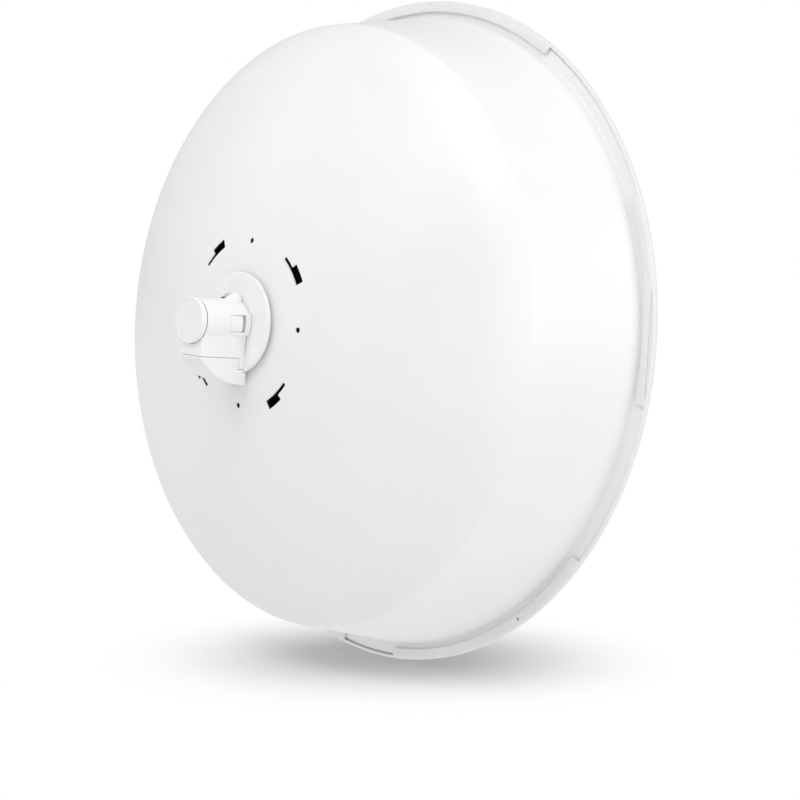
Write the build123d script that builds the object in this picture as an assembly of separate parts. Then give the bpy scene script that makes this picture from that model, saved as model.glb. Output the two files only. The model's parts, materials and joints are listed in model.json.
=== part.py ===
from build123d import *
import math
import os

# Point-to-point dish antenna with a clip-on radome. Millimetres. +Y is the beam direction, +Z is up.
# The origin is the centre of the bracket hole circle on the back of the dish.

# ---------------------------------------------------------------- reflector dish
focal_length = 250.0
bracket_hole_circle = 77.0  # radius; the dish's back surface crosses y = 0 here
bracket_hole_radius = 2.6
sheet = 1.2
bowl_radius = 256.0  # the paraboloid ends here
shoulder_radius = 90.0  # the bowl turns up with this radius as far as the shoulder angle
shoulder_angle = 52.0
crease_radius = 12.0
skirt_angle = 10.6  # from the beam axis
flange_rear_y = 203.6
flange_radius = 321.0
flange_bend = 5.0
dish_bore = 24.0
slot_inner = 79.2
slot_step = 82.8
slot_outer = 88.0
slot_angles = (38.0, 47.5, 60.0)  # tail, step and head end, clockwise from the top
vertex_y = -bracket_hole_circle**2 / (4 * focal_length)

# ---------------------------------------------------------------- radome cover
rim_radius = 325.0
band_wall = 2.6
band_rear_y = 201.0
band_front_y = 205.0
dome_rise = 48.0
cover_wall = 2.2
lip_inner = 314.4
lip_outer = 324.0
lip_rear_y = 200.0
lip_thickness = 3.2
lip_corner = 4.0
lip_clear = 312.4  # radius the straight lips stay outside, clear of the flange bend
round_lips = ((-30.5, 30.5), (125.5, 174.6), (188.0, 234.5))
bent_lips = ((63.1, 77.2, 96.9), (-63.1, -77.2, -96.9))  # outer end, bend, inner end
drain_angles = (142.3, 217.7)
drain_radius = 1.6
seal_inner = 312.5
seal_outer = 317.5
seal_thickness = 1.6

# ---------------------------------------------------------------- housing flange and its clamp
disc_radius = 47.4
disc_rear_y = -10.4
disc_floor_y = -9.7
disc_front_y = -6.9
sleeve_inner = 20.5
sleeve_outer = 23.6
sleeve_front_y = 8.0
gasket_radii = (25.0, 38.0)
ring_radius = 35.0
ring_rear_y = -3.1
ring_front_y = 4.0
ring_notches = 12

# ---------------------------------------------------------------- rear housing
barrel_radius = 20.8
barrel_bore = 18.7
barrel_front_y = -9.9
cap_rear_y = -65.2
cap_seam_y = -59.8
cap_radius = 21.1
box_half_width = 17.1
box_rear_y = -60.6
box_front_y = -10.6
box_wall = 2.0
box_roof_z = -22.8  # the hollow stays under this behind the jack
box_corner_radius = 1.8
seam_z = -31.8
seam_gap = 0.35
collar_rear_y = -16.0
collar_bottom_z = -42.1

# ---------------------------------------------------------------- latches and buttons
latch_half_height = 7.4
latch_rear_y = -31.3
latch_front_y = -18.0
latch_inner = 18.9
latch_outer = 20.8
tooth_radius = 21.4
latch_gap = 0.3
guard_radius = 23.3
guard_rear_y = -27.5
guard_bar_rear_y = -15.4
guard_bar_front_y = -10.1
guard_angles = (21.5, 27.0)  # inner and outer face of each arm, from the side
boss_axis_z = 19.5
boss_radius = 9.8
boss_rear_y = -34.2
boss_front_y = -9.95
button_y = -23.7
button_length = 12.3
button_width = 6.0
button_top_z = 22.8
button_bottom_z = 19.75
button_gap = 0.1

# ---------------------------------------------------------------- cable door
door_bottom_z = -56.6
door_front_y = -7.1
door_wall = 2.0
door_edge_radius = 1.8
belly_end_y = -11.0  # the belly's curve runs flat from here
tongue_height = 5.5
tongue_gap = 0.3
tongue_rear_y = -54.0
tongue_front_y = -28.0
recess_depth = 0.5
cable_hole_radius = 3.8
cable_hole_y = -14.6

# ---------------------------------------------------------------- radio and feed
tube_radius = 17.0
tube_bore = 15.2
tube_rear_y = -38.0
tube_front_y = 214.0
board_half_width = 13.2
board_bottom_z = -3.8
board_thickness = 1.6
board_rear_y = -57.0
board_front_y = 196.0
jack_half_width = 8.0
jack_rear_y = -55.4
jack_front_y = -38.4
jack_bottom_z = -27.0
plate_top_z = -24.0
plate_bottom_z = -25.5
reset_x = 10.1
reset_y = -45.0
reset_radius = 1.2
reset_collar = 1.7
splash_radius = 36.0
splash_y = 226.0


def bowl_y(radius):
    """Height of the dish's back surface inside the paraboloid."""
    return vertex_y + radius**2 / (4 * focal_length)


def turned(points):
    """Solid of revolution about the beam axis from a closed outline of (radius, y) points."""
    outline = Polyline([(r, y) for r, y in points], close=True)
    return revolve(make_face(outline), Axis.Y, 360)


def ring_sector(inner, outer, rear_y, front_y, start, end):
    """Part of a ring; angles run clockwise from the top, seen from behind."""
    outline = Polyline([(inner, rear_y), (outer, rear_y), (outer, front_y), (inner, front_y)], close=True)
    return Rot(0, start - 90, 0) * revolve(make_face(outline), Axis.Y, end - start)


def block(x0, x1, y0, y1, z0, z1):
    """Box between two corners."""
    centre = ((x0 + x1) / 2, (y0 + y1) / 2, (z0 + z1) / 2)
    return Pos(*centre) * Box(x1 - x0, y1 - y0, z1 - z0)


def rod_y(x, z, radius, y0, y1):
    """Round rod along the beam axis."""
    return Pos(x, (y0 + y1) / 2, z) * Rot(90, 0, 0) * Cylinder(radius, y1 - y0)


def rod_z(x, y, radius, z0, z1):
    """Round upright rod."""
    return Pos(x, y, (z0 + z1) / 2) * Cylinder(radius, z1 - z0)


def at_angle(radius, degrees):
    """(x, z) of a point at a clock angle, clockwise from the top."""
    a = math.radians(degrees)
    return (radius * math.sin(a), radius * math.cos(a))


def plate_xz(points, y0, y1):
    """Flat plate across the beam from a closed outline of (x, z) points, between y0 and y1."""
    outline = Polyline([(x, -z) for x, z in points], close=True)
    plate = extrude(make_face(outline), y1 - y0)
    return Pos(0, y1, 0) * Rot(90, 0, 0) * mirror(plate, Plane.XY).moved(Location((0, 0, y1 - y0)))


def side_slab(edges, half_width):
    """Slab across x from outline edges drawn as (y, z) in the sketch plane."""
    face = Plane.YZ * make_face(edges)
    return extrude(face, half_width, both=True)


def bowl_curve(inset):
    """Edges of the dish's outline from the axis to the skirt's top, moved inwards by inset."""
    slope = bowl_radius / (2 * focal_length)
    lean = math.atan(slope)
    end = (
        bowl_radius - inset * math.sin(lean),
        bowl_y(bowl_radius) + inset * math.cos(lean),
    )
    start = (0.0, vertex_y + inset)
    control = (end[0] - (end[1] - start[1]) / slope, start[1])
    bowl = Bezier(start, control, end)
    sweep = shoulder_angle - math.degrees(lean)
    shoulder = JernArc(end, (math.cos(lean), math.sin(lean)), shoulder_radius - inset, sweep)
    sweep = 90.0 - skirt_angle - shoulder_angle
    crease = JernArc(shoulder @ 1, shoulder % 1, crease_radius - inset, sweep)
    rise = (flange_rear_y + inset) - (crease @ 1).Y
    lean_out = rise * math.tan(math.radians(skirt_angle))
    top = ((crease @ 1).X + lean_out, flange_rear_y + inset)
    return bowl, shoulder, crease, top


def reflector_dish():
    """Pressed bowl with flange, bracket holes, bayonet slots and central bore."""
    outer_bowl, outer_shoulder, outer_crease, outer_top = bowl_curve(0.0)
    inner_bowl, inner_shoulder, inner_crease, inner_top = bowl_curve(sheet)
    outline = [
        outer_bowl,
        outer_shoulder,
        outer_crease,
        Line(outer_crease @ 1, outer_top),
        Line(outer_top, (flange_radius, flange_rear_y)),
        Line((flange_radius, flange_rear_y), (flange_radius, flange_rear_y + sheet)),
        Line((flange_radius, flange_rear_y + sheet), inner_top),
        Line(inner_top, inner_crease @ 1),
        inner_crease,
        inner_shoulder,
        inner_bowl,
        Line((0, vertex_y + sheet), (0, vertex_y)),
    ]
    face = make_face(outline)
    bends = []
    for vertex in face.vertices():
        if abs(vertex.X - outer_top[0]) < 0.01 and abs(vertex.Y - outer_top[1]) < 0.01:
            bends.append((vertex, flange_bend - sheet))
        if abs(vertex.X - inner_top[0]) < 0.01 and abs(vertex.Y - inner_top[1]) < 0.01:
            bends.append((vertex, flange_bend))
    first = fillet(bends[0][0], bends[0][1])
    again = [v for v in first.vertices() if (v.center() - bends[1][0].center()).length < 0.01]
    face = fillet(again, bends[1][1])
    dish = revolve(face, Axis.Y, 360)
    dish -= rod_y(0, 0, dish_bore, -20, 20)
    tail_angle, step_angle, head_angle = slot_angles
    for quarter in range(4):
        turn = 90.0 * quarter
        x, z = at_angle(bracket_hole_circle, turn)
        dish -= rod_y(x, z, bracket_hole_radius, -20, 20)
        slot = ring_sector(slot_inner, slot_step, -20, 20, turn + tail_angle, turn + step_angle + 0.5)
        slot += ring_sector(slot_inner, slot_outer, -20, 20, turn + step_angle, turn + head_angle)
        dish -= slot
    return dish


def bent_lip(outer_end, bend, inner_end):
    """Lip that follows the rim as far as its bend and then runs straight."""
    low, high = sorted((outer_end, bend))
    front_y = lip_rear_y + lip_thickness
    lip = ring_sector(lip_inner, lip_outer, lip_rear_y, front_y, low, high)
    bar = plate_xz(
        [
            at_angle(lip_inner, bend),
            at_angle(lip_outer, bend),
            at_angle(lip_outer, inner_end),
            at_angle(lip_inner, inner_end),
        ],
        lip_rear_y,
        front_y,
    )
    bar -= rod_y(0, 0, lip_clear, lip_rear_y - 1, front_y + 1)
    low, high = sorted((bend, inner_end))
    web = ring_sector(lip_outer - 6.0, rim_radius - 0.6, front_y - 1.2, front_y, low, high)
    return lip + bar + web


def radome_cover():
    """Domed cover with the rim band, a seating rib and the lips that hook behind the flange."""
    edge_radius = 3.0
    dome_edge = (rim_radius - edge_radius, band_front_y + edge_radius)
    apex_y = dome_edge[1] + dome_rise
    sphere = (dome_edge[0] ** 2 + dome_rise**2) / (2 * dome_rise)
    bend = edge_radius * (1 - math.sqrt(0.5))

    def dome_y(radius, drop):
        return apex_y - sphere + math.sqrt((sphere - drop) ** 2 - radius**2)

    inner_edge = rim_radius - band_wall
    inner_start = (inner_edge, dome_y(inner_edge, cover_wall))
    outline = [
        Line((inner_edge, band_rear_y), (rim_radius, band_rear_y)),
        Line((rim_radius, band_rear_y), (rim_radius, band_front_y)),
        ThreePointArc((rim_radius, band_front_y), (rim_radius - bend, dome_edge[1] - bend), dome_edge),
        ThreePointArc(dome_edge, (dome_edge[0] / 2, dome_y(dome_edge[0] / 2, 0)), (0, apex_y)),
        Line((0, apex_y), (0, apex_y - cover_wall)),
        ThreePointArc(
            (0, apex_y - cover_wall),
            (inner_edge / 2, dome_y(inner_edge / 2, cover_wall)),
            inner_start,
        ),
        Line(inner_start, (inner_edge, band_rear_y)),
    ]
    cover = revolve(make_face(outline), Axis.Y, 360)
    rib_y = flange_rear_y + sheet + seal_thickness + 0.1
    cover += turned(
        [
            (seal_inner + 1, rib_y),
            (seal_outer - 1, rib_y),
            (seal_outer - 1, dome_y(seal_outer, cover_wall) + 0.8),
            (seal_inner + 1, dome_y(seal_inner, cover_wall) + 0.8),
        ]
    )
    front_y = lip_rear_y + lip_thickness
    for start, end in round_lips:
        lip = ring_sector(lip_inner, lip_outer, lip_rear_y, front_y, start, end)
        corners = lip.edges().filter_by(Axis.Y).sort_by(lambda e: math.hypot(e.center().X, e.center().Z))
        cover += fillet(corners[:2], lip_corner)
    for outer_end, bend_angle, inner_end in bent_lips:
        cover += bent_lip(outer_end, bend_angle, inner_end)
    for angle in drain_angles:
        x, z = at_angle(lip_inner + 5.5, angle)
        cover -= rod_y(x, z, drain_radius, lip_rear_y - 1, front_y + 0.2)
    notch_depth = 3.2
    notch = plate_xz(
        [(-3.0, rim_radius + 1), (3.0, rim_radius + 1), (0, rim_radius - notch_depth)],
        lip_rear_y - 1,
        lip_rear_y + 4.5,
    )
    return cover - notch


def radome_seal():
    """Foam ring on the flange's front face."""
    rear_y = flange_rear_y + sheet + 0.05
    front_y = rear_y + seal_thickness
    return turned([(seal_inner, rear_y), (seal_outer, rear_y), (seal_outer, front_y), (seal_inner, front_y)])


def housing_flange():
    """Conical base disc with the sleeve that passes through the dish."""
    return turned(
        [
            (sleeve_inner, sleeve_front_y),
            (sleeve_outer, sleeve_front_y),
            (sleeve_outer, disc_front_y),
            (disc_radius - 0.5, disc_front_y),
            (disc_radius, disc_front_y - 0.5),
            (disc_radius, disc_rear_y + 1.8),
            (disc_radius - 0.6, disc_rear_y + 0.6),
            (disc_radius - 1.8, disc_rear_y),
            (42.0, disc_rear_y),
            (40.0, disc_rear_y + 0.4),
            (26.0, disc_floor_y),
            (sleeve_inner, disc_floor_y),
        ]
    )


def flange_gasket():
    """Rubber ring that follows the dish's curve under the flange."""
    inner, outer = gasket_radii
    clear = 0.15
    return turned(
        [
            (inner, disc_front_y + 0.05),
            (outer, disc_front_y + 0.05),
            (outer, bowl_y(outer) - clear),
            (inner, bowl_y(inner) - clear),
        ]
    )


def lock_ring():
    """Ring nut on the sleeve, with grip notches."""
    bore = sleeve_outer + 0.05
    ring = turned(
        [
            (bore, ring_rear_y),
            (ring_radius, ring_rear_y),
            (ring_radius, ring_front_y - 1.5),
            (ring_radius - 1.5, ring_front_y),
            (bore, ring_front_y),
        ]
    )
    for index in range(ring_notches):
        x, z = at_angle(ring_radius + 0.8, index * 360 / ring_notches)
        ring -= rod_y(x, z, 2.4, ring_rear_y - 1, ring_front_y + 1)
    return ring


def feed_bush():
    """Guide bush between the feed tube and the sleeve."""
    inner = tube_radius + 0.05
    outer = sleeve_inner - 0.05
    return turned([(inner, -6.0), (outer, -6.0), (outer, 7.0), (inner, 7.0)])


def boss_shape():
    """Teardrop boss along the top of the barrel."""
    radius = boss_radius
    rear = (0.0, boss_rear_y)
    widest = (radius, boss_front_y - 6.0)
    front = (radius - 2.6, boss_front_y)
    outline = [
        Spline(rear, (radius * 0.62, boss_rear_y + 9.0), widest, tangents=((0.6, 0.8), (0.0, 1.0))),
        ThreePointArc(widest, (radius - 0.7, (widest[1] + front[1]) / 2 + 0.4), front),
        Line(front, (0.0, boss_front_y)),
        Line((0.0, boss_front_y), rear),
    ]
    return Pos(0, 0, boss_axis_z) * revolve(make_face(outline), Axis.Y, 360)


def latch_tab(side, half_height):
    """Curved piece of barrel wall between two level faces; side is 1 for +X and -1 for -X."""
    reach = 30.0
    middle = 90.0 * side
    wall = ring_sector(latch_inner, latch_outer, latch_rear_y, latch_front_y, middle - reach, middle + reach)
    low, high = sorted((latch_inner / 2 * side, (latch_outer + 2) * side))
    return wall & block(low, high, latch_rear_y - 1, latch_front_y + 1, -half_height, half_height)


def latch_guard(side):
    """U shaped rib round the latch's free end."""
    middle = 90.0 * side
    inside, outside = guard_angles
    root = barrel_radius - 1.0
    rear_y, front_y = guard_bar_rear_y, guard_bar_front_y
    guard = ring_sector(root, guard_radius, rear_y, front_y, middle - outside, middle + outside)
    for start, end in ((-outside, -inside), (inside, outside)):
        guard += ring_sector(root, guard_radius, guard_rear_y, front_y, middle + start, middle + end)
    return guard


def rear_housing():
    """Barrel with the cable box below, the teardrop boss above and the latch guards at its sides."""
    front_y = barrel_front_y
    barrel = rod_y(0, 0, barrel_radius, cap_seam_y + 0.9, front_y)
    spigot = rod_y(0, 0, barrel_radius - 1.2, cap_rear_y + 3.0, cap_seam_y + 1.0)
    box = block(-box_half_width, box_half_width, box_rear_y, box_front_y, seam_z, -8)
    upright = box.edges().filter_by(Axis.Z).sort_by(Axis.Y)[:2]
    box = fillet(upright, box_corner_radius)
    box -= rod_y(0, 0, cap_radius + 0.3, box_rear_y - 1, cap_seam_y + 0.9)
    collar = block(-box_half_width, box_half_width, collar_rear_y, box_front_y, collar_bottom_z, seam_z + 1)
    body = barrel + spigot + box + collar + boss_shape()
    for side in (1, -1):
        body += latch_guard(side)
    body -= rod_y(0, 0, barrel_bore, cap_rear_y, front_y + 1)
    inner = box_half_width - box_wall
    body -= block(-inner, inner, box_rear_y + box_wall, collar_rear_y, seam_z - 1, box_roof_z)
    body -= block(-inner, inner, jack_rear_y - 1.5, collar_rear_y, box_roof_z - 1, -9)
    body -= block(-inner, inner, collar_rear_y - 1, box_front_y - box_wall, collar_bottom_z - 1, box_roof_z)
    for side in (1, -1):
        low, high = sorted((16.0 * side, 26.0 * side))
        half = latch_half_height + latch_gap
        body -= block(low, high, latch_rear_y - latch_gap, guard_bar_rear_y, -half, half)
    half = button_length / 2 - button_width / 2
    radius = button_width / 2 + button_gap
    for step in (-half, half):
        body -= rod_z(0, button_y + step, radius, 15, 40)
    body -= block(-radius, radius, button_y - half, button_y + half, 15, 40)
    return body


def rear_cap():
    """Round lid with a raised bezel round a plain face."""
    bezel = cap_radius - 1.9
    return turned(
        [
            (0, cap_rear_y + 0.5),
            (bezel, cap_rear_y + 0.5),
            (bezel + 0.5, cap_rear_y),
            (cap_radius - 0.9, cap_rear_y),
            (cap_radius, cap_rear_y + 0.9),
            (cap_radius, cap_seam_y),
            (barrel_radius - 0.9, cap_seam_y),
            (barrel_radius - 0.9, cap_rear_y + 2.6),
            (0, cap_rear_y + 2.6),
        ]
    )


def cap_seal():
    """Thin ring between the lid and the barrel's shoulder."""
    inner = barrel_radius - 1.0
    outer = barrel_radius - 0.1
    return turned(
        [
            (inner, cap_seam_y + 0.1),
            (outer, cap_seam_y + 0.1),
            (outer, cap_seam_y + 0.8),
            (inner, cap_seam_y + 0.8),
        ]
    )


def side_latch(side):
    """Curved tab with a low ramp at its free end."""
    outline = Polyline(
        [
            (latch_inner + 0.5, latch_front_y - 6.0),
            (latch_outer, latch_front_y - 6.0),
            (tooth_radius, latch_front_y - 1.5),
            (tooth_radius, latch_front_y),
            (latch_inner + 0.5, latch_front_y),
        ],
        close=True,
    )
    reach = 18.0
    tooth = Rot(0, 90.0 * side - reach - 90, 0) * revolve(make_face(outline), Axis.Y, 2 * reach)
    return latch_tab(side, latch_half_height) + tooth


def release_button():
    """Long button that sits deep in the boss's hole."""
    half = button_length / 2 - button_width / 2
    radius = button_width / 2
    button = block(-radius, radius, button_y - half, button_y + half, button_bottom_z, button_top_z)
    for step in (-half, half):
        button += rod_z(0, button_y + step, radius, button_bottom_z, button_top_z)
    return button


def release_spring():
    """Small coil spring under the release button."""
    wire = 0.22
    height = button_bottom_z - tube_radius - 2 * wire - 0.1
    path = Helix(pitch=height / 2.5, height=height, radius=1.9)
    start = Plane(origin=path @ 0, z_dir=path % 0)
    coil = sweep(start * Circle(wire), path=path, is_frenet=True)
    return Pos(0, button_y, tube_radius + wire + 0.05) * coil


def door_outline(inset):
    """Side view of the door: a convex belly from the rear seam down to the deep front end."""
    top = seam_z - seam_gap
    rear_y = box_rear_y + inset
    low = door_bottom_z + inset
    front = door_front_y - inset
    step_front = collar_rear_y - seam_gap - inset
    step_z = collar_bottom_z - seam_gap - inset
    belly_end = (belly_end_y, low)
    return [
        Line((rear_y, top + inset), (rear_y, top - 1.5)),
        TangentArc(belly_end, (rear_y, top - 1.5), tangent=(-1, 0)),
        Line(belly_end, (front, low)),
        Line((front, low), (front, step_z)),
        Line((front, step_z), (step_front, step_z)),
        Line((step_front, step_z), (step_front, top + inset)),
        Line((step_front, top + inset), (rear_y, top + inset)),
    ]


def disc_relief(clearance):
    """Round block the size of the base disc, used to keep the door clear of it."""
    return rod_y(0, 0, disc_radius + clearance, disc_rear_y - clearance, disc_front_y + 10)


def cable_door():
    """Hollow wedge under the cable box, with guide tongues, a cable outlet and a finger recess."""
    door = side_slab(door_outline(0.0), box_half_width)
    side_edges = [e for e in door.edges() if abs(e.center().X) > box_half_width - 0.1]
    low_edges = [e for e in side_edges if e.center().Z < collar_bottom_z - 2]
    belly = [e for e in low_edges if e.center().Y < door_front_y - 1]
    door = fillet(belly, door_edge_radius)
    hollow_width = box_half_width - door_wall
    hollow = side_slab(door_outline(door_wall), hollow_width)
    door -= disc_relief(seam_gap)
    door -= hollow - disc_relief(seam_gap + door_wall)
    for side in (1, -1):
        outer = (hollow_width - tongue_gap) * side
        inner = (hollow_width - tongue_gap - 1.6) * side
        low, high = sorted((outer, inner))
        door += block(low, high, tongue_rear_y, tongue_front_y, seam_z - 4, seam_z + tongue_height)
        low, high = sorted((outer, (hollow_width + 0.5) * side))
        door += block(low, high, tongue_rear_y, tongue_front_y, seam_z - 4, seam_z - seam_gap)
        recess_x = box_half_width * side
        low, high = sorted((recess_x - recess_depth * side, recess_x + side))
        door -= block(low, high, -28.5, -17.6, -42.3, seam_z - 1.0)
        arrow = Polyline([(-26.0, -37.3), (-22.3, -39.8), (-18.6, -37.3), (-22.3, -38.5)], close=True)
        mark = extrude(Plane.YZ * make_face(arrow), recess_depth)
        door += Pos(recess_x - recess_depth - 0.05 if side > 0 else recess_x + 0.05, 0, 0) * mark
    door -= rod_z(0, cable_hole_y, cable_hole_radius, door_bottom_z - 2, door_bottom_z + door_wall + 1)
    return door


def cable_grommet():
    """Rubber ring in the door's cable outlet."""
    y = cable_hole_y
    low = door_bottom_z - 0.2
    high = door_bottom_z + door_wall + 2.1
    ring = rod_z(0, y, cable_hole_radius - 0.05, low, high)
    ring += rod_z(0, y, cable_hole_radius + 1.0, high - 1.2, high)
    return ring - rod_z(0, y, 2.8, low - 1, high + 1)


def port_plate():
    """Floor inside the cable box, round the socket and the reset button."""
    half = box_half_width - box_wall - 0.2
    rear_y = box_rear_y + box_wall + 0.2
    plate = block(-half, half, rear_y, collar_rear_y - 0.2, plate_bottom_z, plate_top_z)
    gap = 0.2
    jack = jack_half_width + gap
    plate -= block(-jack, jack, jack_rear_y - gap, jack_front_y + gap, plate_bottom_z - 1, plate_top_z + 1)
    plate -= rod_z(reset_x, reset_y, reset_radius + 0.08, plate_bottom_z - 1, plate_top_z + 1)
    return plate


def ethernet_jack():
    """Eight-way socket that faces down."""
    top = board_bottom_z - 0.05
    jack = block(-jack_half_width, jack_half_width, jack_rear_y, jack_front_y, jack_bottom_z, top)
    jack -= block(-6.0, 6.0, jack_rear_y + 4.5, jack_front_y - 2.0, jack_bottom_z - 1, jack_bottom_z + 14)
    jack -= block(-2.4, 2.4, jack_rear_y + 1.5, jack_rear_y + 5.0, jack_bottom_z - 1, jack_bottom_z + 14)
    return jack


def jack_contacts():
    """Eight spring wires in the socket."""
    wires = []
    for index in range(8):
        x = (index - 3.5) * 1.27
        y = jack_front_y - 2.4
        wires.append(block(x - 0.22, x + 0.22, y - 0.5, y, jack_bottom_z + 2, jack_bottom_z + 12.5))
    return Compound(children=wires)


def reset_button():
    """Small plunger beside the socket."""
    button = rod_z(reset_x, reset_y, reset_radius, plate_bottom_z - 1.5, board_bottom_z - 1.6)
    return button + rod_z(reset_x, reset_y, reset_collar, plate_top_z + 0.1, plate_top_z + 1.3)


def radio_board():
    """Long circuit board through the feed tube."""
    top = board_bottom_z + board_thickness
    half = board_half_width
    return block(-half, half, board_rear_y, board_front_y, board_bottom_z, top)


def board_components():
    """Transformer, capacitors and chips on the board's top face."""
    top = board_bottom_z + board_thickness + 0.05
    parts = [block(-8, 8, -55, -41, top, top + 6)]
    for x in (-7.0, 0.0, 7.0):
        parts.append(rod_z(x, -36.0, 2.9, top, top + 7))
    for y in (-26.0, -12.0, 2.0):
        parts.append(block(-5, 5, y, y + 9, top, top + 1.6))
    for y in (126.0, 140.0, 154.0):
        parts.append(block(-4, 4, y, y + 7, top, top + 1.2))
    return Compound(children=parts)


def shield_can():
    """Pressed screening can over the radio section."""
    top = board_bottom_z + board_thickness + 0.05
    can = block(-11, 11, 18, 118, top, top + 5)
    return can - block(-10.6, 10.6, 18.4, 117.6, top - 1, top + 4.6)


def heat_spreader():
    """Finned aluminium bar under the board."""
    top = board_bottom_z - 0.05
    bar = block(-9, 9, 18, 118, top - 2.5, top)
    for x in (-7.5, -4.5, -1.5, 1.5, 4.5, 7.5):
        bar += block(x - 0.6, x + 0.6, 18, 118, top - 7.5, top - 2.4)
    return bar


def board_rails():
    """Two grooved rails that hold the board's long edges in the tube."""
    top = board_bottom_z + board_thickness
    rails = []
    for side in (1, -1):
        low, high = sorted((12.1 * side, 14.0 * side))
        rail = block(low, high, -30, 190, board_bottom_z - 1.3, top + 1.3)
        low, high = sorted((11.0 * side, (board_half_width + 0.05) * side))
        rail -= block(low, high, -31, 191, board_bottom_z - 0.05, top + 0.05)
        rails.append(rail)
    return Compound(children=rails)


def feed_tube():
    """Long tube that carries the board from the housing to the focus."""
    return turned(
        [
            (tube_bore, tube_rear_y),
            (tube_radius, tube_rear_y),
            (tube_radius, tube_front_y),
            (tube_bore, tube_front_y),
        ]
    )


def tube_o_ring():
    """Rubber ring between tube and barrel."""
    middle = (tube_radius + barrel_bore) / 2
    minor = (barrel_bore - tube_radius) / 2 - 0.02
    return Pos(0, -35.6, 0) * Rot(90, 0, 0) * Torus(middle, minor)


def feed_coax():
    """Semi-rigid line from the board to the radiator."""
    z = board_bottom_z + board_thickness + 1.6
    return rod_y(0, z, 1.4, board_front_y - 12, tube_front_y - 2.1)


def feed_radiator():
    """Round radiator card with two raised dipole arms."""
    card = rod_y(0, 0, tube_bore - 0.1, tube_front_y - 2, tube_front_y - 0.5)
    for side in (1, -1):
        low, high = sorted((1.0 * side, 11.0 * side))
        card += block(low, high, tube_front_y - 0.6, tube_front_y + 5, -1.2, 1.2)
    return card


def sub_reflector():
    """Shallow cone that throws the feed's energy back into the dish."""
    return turned(
        [
            (0, splash_y - 4.0),
            (6.0, splash_y - 3.2),
            (splash_radius, splash_y),
            (splash_radius, splash_y + 1.5),
            (6.0, splash_y - 1.7),
            (0, splash_y - 2.5),
        ]
    )


def feed_cap():
    """Funnel shaped cap on the tube's end, closed in front of the sub-reflector."""
    grip = tube_radius + 0.05
    outer = splash_radius + 2.6
    return turned(
        [
            (grip, tube_front_y - 12),
            (grip + 2.0, tube_front_y - 12),
            (grip + 2.0, tube_front_y - 3),
            (outer, splash_y - 1.0),
            (outer, splash_y + 4.0),
            (outer - 2.0, splash_y + 6.0),
            (0, splash_y + 8.0),
            (0, splash_y + 6.0),
            (outer - 3.0, splash_y + 4.2),
            (outer - 2.0, splash_y + 3.4),
            (outer - 2.0, splash_y - 0.4),
            (grip, tube_front_y + 0.4),
        ]
    )


PARTS = {
    "reflector_dish": reflector_dish,
    "radome_cover": radome_cover,
    "radome_seal": radome_seal,
    "housing_flange": housing_flange,
    "flange_gasket": flange_gasket,
    "lock_ring": lock_ring,
    "feed_bush": feed_bush,
    "rear_housing": rear_housing,
    "rear_cap": rear_cap,
    "cap_seal": cap_seal,
    "side_latch_right": lambda: side_latch(1),
    "side_latch_left": lambda: side_latch(-1),
    "release_button": release_button,
    "release_spring": release_spring,
    "cable_door": cable_door,
    "cable_grommet": cable_grommet,
    "port_plate": port_plate,
    "ethernet_jack": ethernet_jack,
    "jack_contacts": jack_contacts,
    "reset_button": reset_button,
    "radio_board": radio_board,
    "board_components": board_components,
    "shield_can": shield_can,
    "heat_spreader": heat_spreader,
    "board_rails": board_rails,
    "feed_tube": feed_tube,
    "tube_o_ring": tube_o_ring,
    "feed_coax": feed_coax,
    "feed_radiator": feed_radiator,
    "sub_reflector": sub_reflector,
    "feed_cap": feed_cap,
}

os.makedirs("parts", exist_ok=True)
for name, make in PARTS.items():
    export_step(make(), f"parts/{name}.step")
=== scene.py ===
import json
import math

import bmesh
import bpy
from mathutils import Matrix, Vector


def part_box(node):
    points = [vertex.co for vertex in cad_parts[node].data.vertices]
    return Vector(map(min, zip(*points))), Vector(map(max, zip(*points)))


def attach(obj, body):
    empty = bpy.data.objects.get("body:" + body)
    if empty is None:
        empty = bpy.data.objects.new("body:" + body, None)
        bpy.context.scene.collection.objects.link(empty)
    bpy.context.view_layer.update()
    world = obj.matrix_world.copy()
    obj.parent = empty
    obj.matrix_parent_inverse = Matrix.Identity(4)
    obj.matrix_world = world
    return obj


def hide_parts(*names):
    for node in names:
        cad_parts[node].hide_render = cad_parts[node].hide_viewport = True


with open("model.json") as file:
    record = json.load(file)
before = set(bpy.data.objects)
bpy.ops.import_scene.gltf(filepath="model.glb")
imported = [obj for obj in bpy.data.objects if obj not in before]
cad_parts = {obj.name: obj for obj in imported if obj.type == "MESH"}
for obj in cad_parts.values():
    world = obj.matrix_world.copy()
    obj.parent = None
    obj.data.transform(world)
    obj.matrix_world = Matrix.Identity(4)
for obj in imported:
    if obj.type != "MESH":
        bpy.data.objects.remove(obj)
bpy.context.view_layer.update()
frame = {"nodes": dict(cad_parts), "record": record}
record = frame["record"]

MM = 0.001  # the sizes below are in millimetres, the scene is in metres

# ---------------------------------------------------------------- sizes read from the frame


def span(node):
    """Lowest and highest corner of a CAD node, in millimetres."""
    low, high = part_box(node)
    return low / MM, high / MM


dish_low, dish_high = span("reflector_dish")
cover_low, cover_high = span("radome_cover")
barrel_low, barrel_high = span("rear_housing")
disc_low, disc_high = span("housing_flange")
lid_low, lid_high = span("rear_cap")
door_low, door_high = span("cable_door")
button_low, button_high = span("release_button")
spring_low, spring_high = span("release_spring")
grommet_low, grommet_high = span("cable_grommet")

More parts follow.
